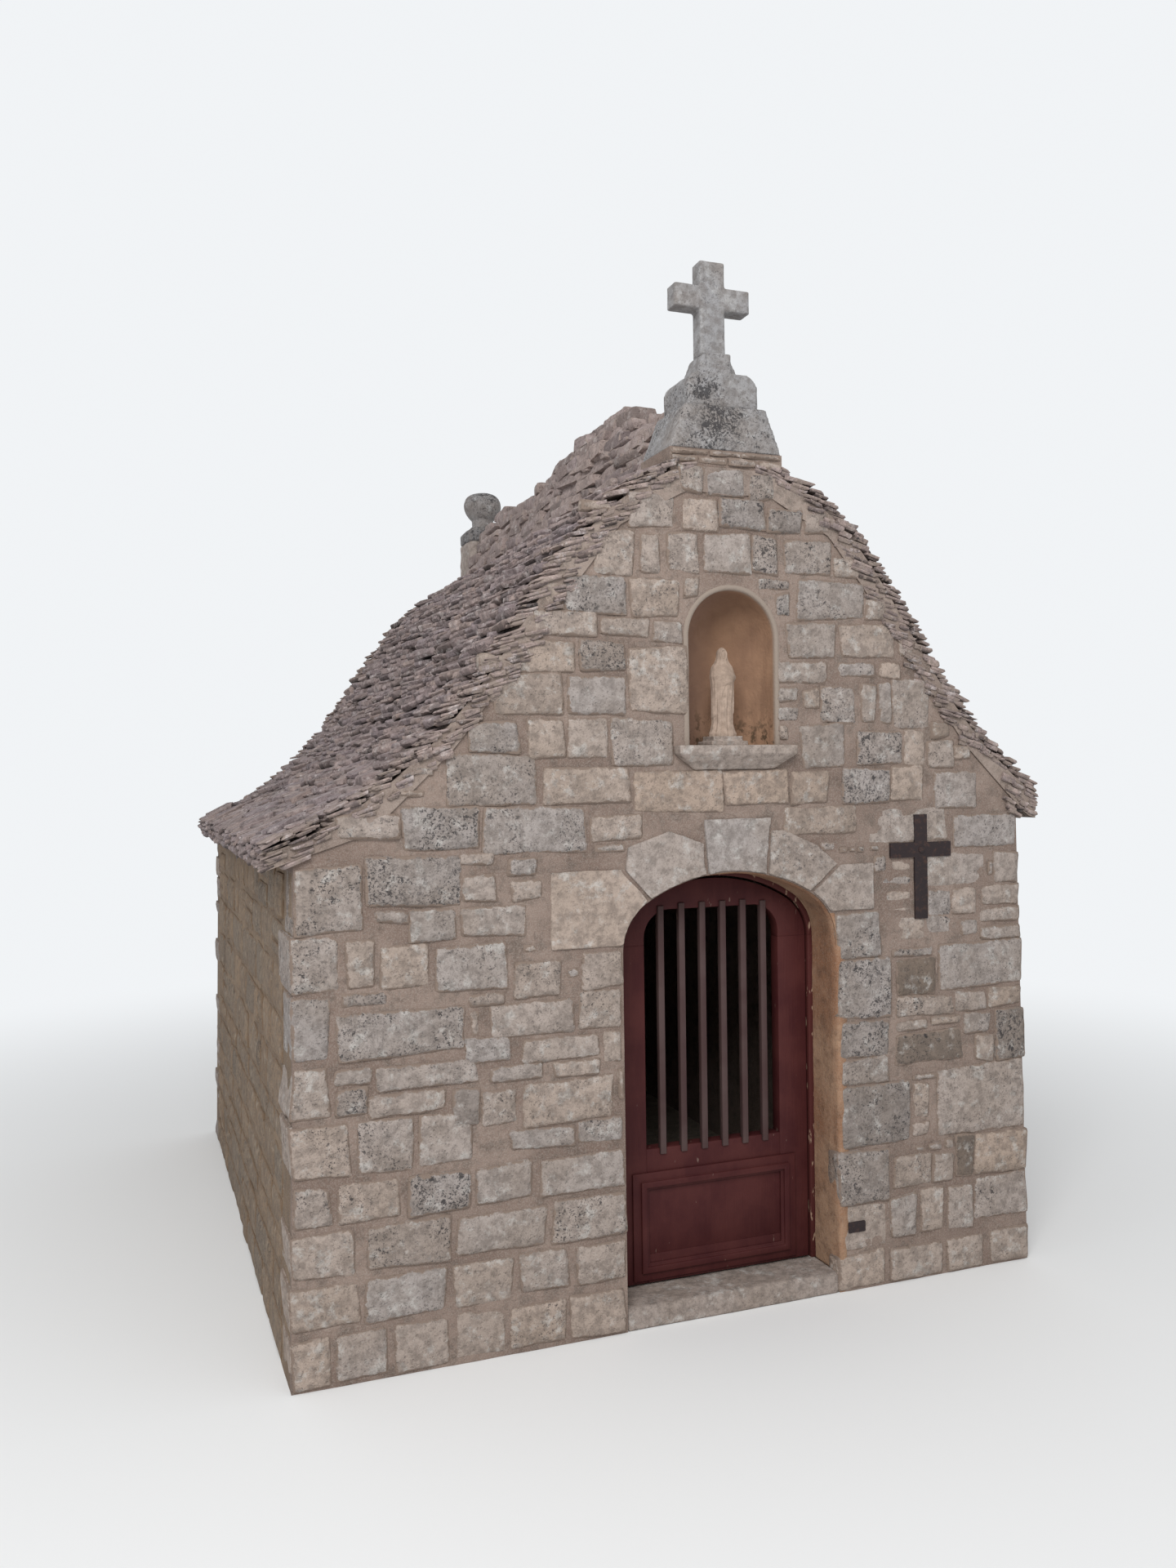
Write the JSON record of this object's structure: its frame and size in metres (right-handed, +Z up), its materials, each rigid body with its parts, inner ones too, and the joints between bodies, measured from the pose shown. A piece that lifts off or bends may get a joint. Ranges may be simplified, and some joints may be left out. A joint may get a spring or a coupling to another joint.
{
  "type": "wayside shrine",
  "caption": "Small stone wayside chapel with arched barred door on side hinges, niche with veiled figure, stone slab roof and stone cross on the gable.",
  "frame": {"origin": "middle of the building's footprint at the lowest ground level, on the underside of the floor slab", "axes": "+Z up, facade with the door towards -Y, +X to the right of someone facing the facade"},
  "size_m": [2.794, 2.977, 3.516],
  "materials": {
    "rubble_stone": "rough rubble limestone in wide tan mortar, lichen spots",
    "dressed_stone": "tooled limestone, weathered",
    "paving_stone": "worn flat paving",
    "statue_stone": "smooth cream cast stone",
    "roof_slabs": "thin split stone slabs, brown grey",
    "ridge_mortar": "rough mortared ridge",
    "weathered_stone": "grey limestone with black lichen",
    "black_iron": "dark matt iron, slightly rusted",
    "frame_paint": "flaking dark red paint",
    "door_paint": "weathered dark red paint",
    "bar_paint": "weathered dark red paint on steel bar"
  },
  "bodies": {
    "building": {"front_wall_left": "rubble_stone", "front_wall_right": "rubble_stone", "front_gable": "rubble_stone", "left_wall": "rubble_stone", "right_wall": "rubble_stone", "rear_wall": "rubble_stone", "rear_gable": "rubble_stone", "arch_keystone": "dressed_stone", "arch_voussoir_left": "dressed_stone", "arch_voussoir_right": "dressed_stone", "arch_springer_left": "dressed_stone", "arch_springer_right": "dressed_stone", "jamb_left": "dressed_stone", "jamb_right": "dressed_stone", "inner_lintel": "dressed_stone", "threshold": "dressed_stone", "niche_sill": "dressed_stone", "statue_plinth": "dressed_stone", "floor_slab": "paving_stone", "statue": "statue_stone", "roof_left": "roof_slabs", "roof_right": "roof_slabs", "ridge_capping": "ridge_mortar", "finial_pier": "ridge_mortar", "cross_base": "weathered_stone", "cross_pedestal": "weathered_stone", "stone_cross": "weathered_stone", "finial_base": "weathered_stone", "rear_finial": "weathered_stone", "wall_cross": "black_iron", "wall_plate": "black_iron", "hinge_pintles": "black_iron", "frame_post_left": "frame_paint", "frame_post_right": "frame_paint", "frame_head": "frame_paint"},
    "door": {"door_stile_left": "door_paint", "door_stile_right": "door_paint", "door_head": "door_paint", "door_middle_rail": "door_paint", "door_bottom_rail": "door_paint", "door_panel": "door_paint", "panel_moulding": "door_paint", "door_bars": "bar_paint", "hinge_straps": "black_iron"}
  },
  "joints": [
    {"name": "door_swing", "type": "hinge", "parent": "building", "child": "door", "pos_m": [0.501, -1.232, 0.73], "axis": [0, 0, -1], "range_deg": [0, 95]}
  ]
}
